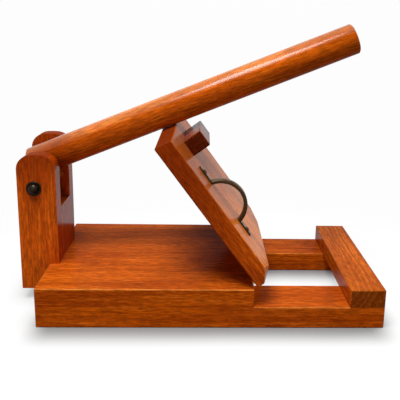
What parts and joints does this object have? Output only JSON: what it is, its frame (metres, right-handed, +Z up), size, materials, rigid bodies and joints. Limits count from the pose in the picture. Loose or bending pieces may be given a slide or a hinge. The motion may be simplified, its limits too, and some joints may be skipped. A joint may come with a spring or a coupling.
{
  "type": "wooden tortilla press",
  "caption": "Wooden lever press: a railed base with a lower plate, a hinged upper plate with a block and a pull, and a round lever in a fork post.",
  "frame": {"origin": "on the table, under the middle of the whole length and width", "axes": "+X along the base from the fork post to the end crossbar, +Y from the front rail to the back rail, +Z up"},
  "size_m": [0.423, 0.208, 0.3355],
  "materials": {
    "rail_wood": "gloss varnish over orange-brown wood",
    "board_wood": "gloss varnish over orange-brown wood",
    "crossbar_wood": "gloss varnish over orange-brown wood",
    "post_wood": "gloss varnish over reddish brown wood",
    "lever_wood": "gloss varnish over orange-brown wood",
    "knuckle_wood": "satin varnish over brown wood",
    "lid_wood": "gloss varnish over reddish brown wood",
    "block_wood": "gloss varnish over reddish brown wood",
    "dowel_wood": "plain pale wood",
    "screw_steel": "satin zinc",
    "pin_iron": "dark polished iron",
    "pull_bronze": "dark bronze lacquer",
    "hinge_brass": "satin brass"
  },
  "bodies": {
    "base": {"front_rail": "rail_wood", "back_rail": "rail_wood", "base_board": "board_wood", "end_crossbar": "crossbar_wood", "fork_post": "post_wood", "board_screws": "screw_steel", "crossbar_screws": "screw_steel", "heel_screws": "screw_steel", "foot_screws": "screw_steel", "pivot_pin": "pin_iron", "pin_nut": "pin_iron", "pin_washers": "pin_iron", "front_board_leaf": "hinge_brass", "back_board_leaf": "hinge_brass", "front_hinge_pin": "hinge_brass", "back_hinge_pin": "hinge_brass", "board_leaf_screws": "hinge_brass"},
    "lever": {"lever_rod": "lever_wood", "lever_knuckle": "knuckle_wood", "knuckle_screws": "screw_steel"},
    "upper_plate": {"lid_plate": "lid_wood", "press_block": "block_wood", "block_dowels": "dowel_wood", "bow_pull": "pull_bronze", "pull_screws": "pull_bronze", "front_lid_leaf": "hinge_brass", "back_lid_leaf": "hinge_brass", "lid_leaf_screws": "hinge_brass"}
  },
  "joints": [
    {"name": "lever_pivot", "type": "hinge", "parent": "base", "child": "lever", "pos_m": [-0.192, 0.005, 0.1396], "axis": [0, -1, 0], "range_deg": [0, 75]},
    {"name": "plate_hinge", "type": "hinge", "parent": "base", "child": "upper_plate", "pos_m": [0.0675, 0, 0.044], "axis": [0, 1, 0], "range_deg": [-53.7, 0]}
  ]
}
